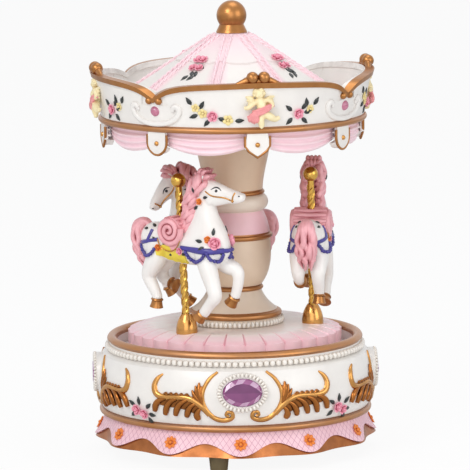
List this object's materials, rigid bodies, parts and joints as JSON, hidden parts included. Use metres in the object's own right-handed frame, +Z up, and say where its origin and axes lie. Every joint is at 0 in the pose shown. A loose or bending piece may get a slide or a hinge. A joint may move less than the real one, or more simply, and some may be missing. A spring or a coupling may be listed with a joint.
{
  "type": "carousel music box",
  "caption": "Wind-up carousel music box: horses on twisted poles and a tented canopy turn on a bellied round base, driven by a spring movement with comb and pinned cylinder.",
  "frame": {"origin": "on the floor, at the turning axis", "axes": "+Z up along the turning axis, -Y towards the front, +X to the right"},
  "size_m": [0.118, 0.118, 0.1845],
  "materials": {
    "ivory_resin": "hand-painted cast resin, satin",
    "pink_resin": "hand-painted cast resin, satin",
    "gilt": "antique gold paint on cast resin",
    "brass": "polished",
    "steel": "brushed",
    "spring_steel": "blued",
    "zinc": "die cast",
    "foot_rubber": "matt",
    "plate_plastic": "matt",
    "amethyst_glass": "cut and polished",
    "rose_glass": "cut and polished"
  },
  "bodies": {
    "base": {"base_drum": "ivory_resin", "base_plinth": "gilt", "lattice_skirt": "pink_resin", "bottom_plate": "plate_plastic", "bottom_plate_screws": "steel", "turntable_bush": "brass", "gem_bezels": "ivory_resin", "bedplate": "zinc", "bedplate_screws": "steel", "comb": "steel", "comb_screws": "steel", "governor_bridge": "zinc", "base_gem_1": "amethyst_glass", "base_gem_2": "amethyst_glass", "base_gem_3": "amethyst_glass", "base_gem_4": "amethyst_glass", "foot_1": "foot_rubber", "foot_2": "foot_rubber", "foot_3": "foot_rubber"},
    "carousel": {"spring_barrel": "zinc", "barrel_cover": "zinc", "mainspring": "spring_steel", "drive_spindle": "steel", "turntable": "ivory_resin", "centre_column": "ivory_resin", "canopy_cornice": "ivory_resin", "cornice_mouldings": "gilt", "crown_balls": "gilt", "canopy_valance": "pink_resin", "valance_shields": "ivory_resin", "shield_gems": "rose_glass", "canopy_roof": "ivory_resin", "finial_collar": "gilt", "finial_ball": "gilt", "cornice_gems": "rose_glass", "cherubs": "ivory_resin", "horse_1": "ivory_resin", "pole_1": "brass", "pole_ball_1": "brass", "pole_base_1": "gilt", "horse_2": "ivory_resin", "pole_2": "brass", "pole_ball_2": "brass", "pole_base_2": "gilt", "horse_3": "ivory_resin", "pole_3": "brass", "pole_ball_3": "brass", "pole_base_3": "gilt"},
    "cylinder": {"music_cylinder": "brass", "cylinder_pinion": "brass", "cylinder_wheel": "brass"},
    "train": {"train_axle": "steel", "train_pinion": "brass", "worm_wheel": "brass"},
    "governor": {"governor_worm": "steel", "governor_fan": "plate_plastic"},
    "key": {"winding_arbor": "steel", "winding_key": "brass"}
  },
  "joints": [
    {"name": "carousel_spin", "type": "hinge", "parent": "base", "child": "carousel", "pos_m": [0, 0, 0.04], "axis": [0, 0, 1], "continuous": true},
    {"name": "cylinder_spin", "type": "hinge", "parent": "base", "child": "cylinder", "pos_m": [0.0215, 0, 0.02492], "axis": [1, 0, 0], "continuous": true},
    {"name": "train_spin", "type": "hinge", "parent": "base", "child": "train", "pos_m": [0.0311, 0.0075, 0.02492], "axis": [1, 0, 0], "continuous": true},
    {"name": "governor_spin", "type": "hinge", "parent": "base", "child": "governor", "pos_m": [0.032, 0.0021, 0.02492], "axis": [0, 0, 1], "continuous": true},
    {"name": "key_wind", "type": "hinge", "parent": "base", "child": "key", "pos_m": [0, 0, 0.012], "axis": [0, 0, 1], "range_deg": [0, 2250]}
  ],
  "couplings": [
    {"joint": "cylinder_spin", "follows": "carousel_spin", "ratio": 4},
    {"joint": "train_spin", "follows": "carousel_spin", "ratio": -8},
    {"joint": "governor_spin", "follows": "carousel_spin", "ratio": -128}
  ]
}
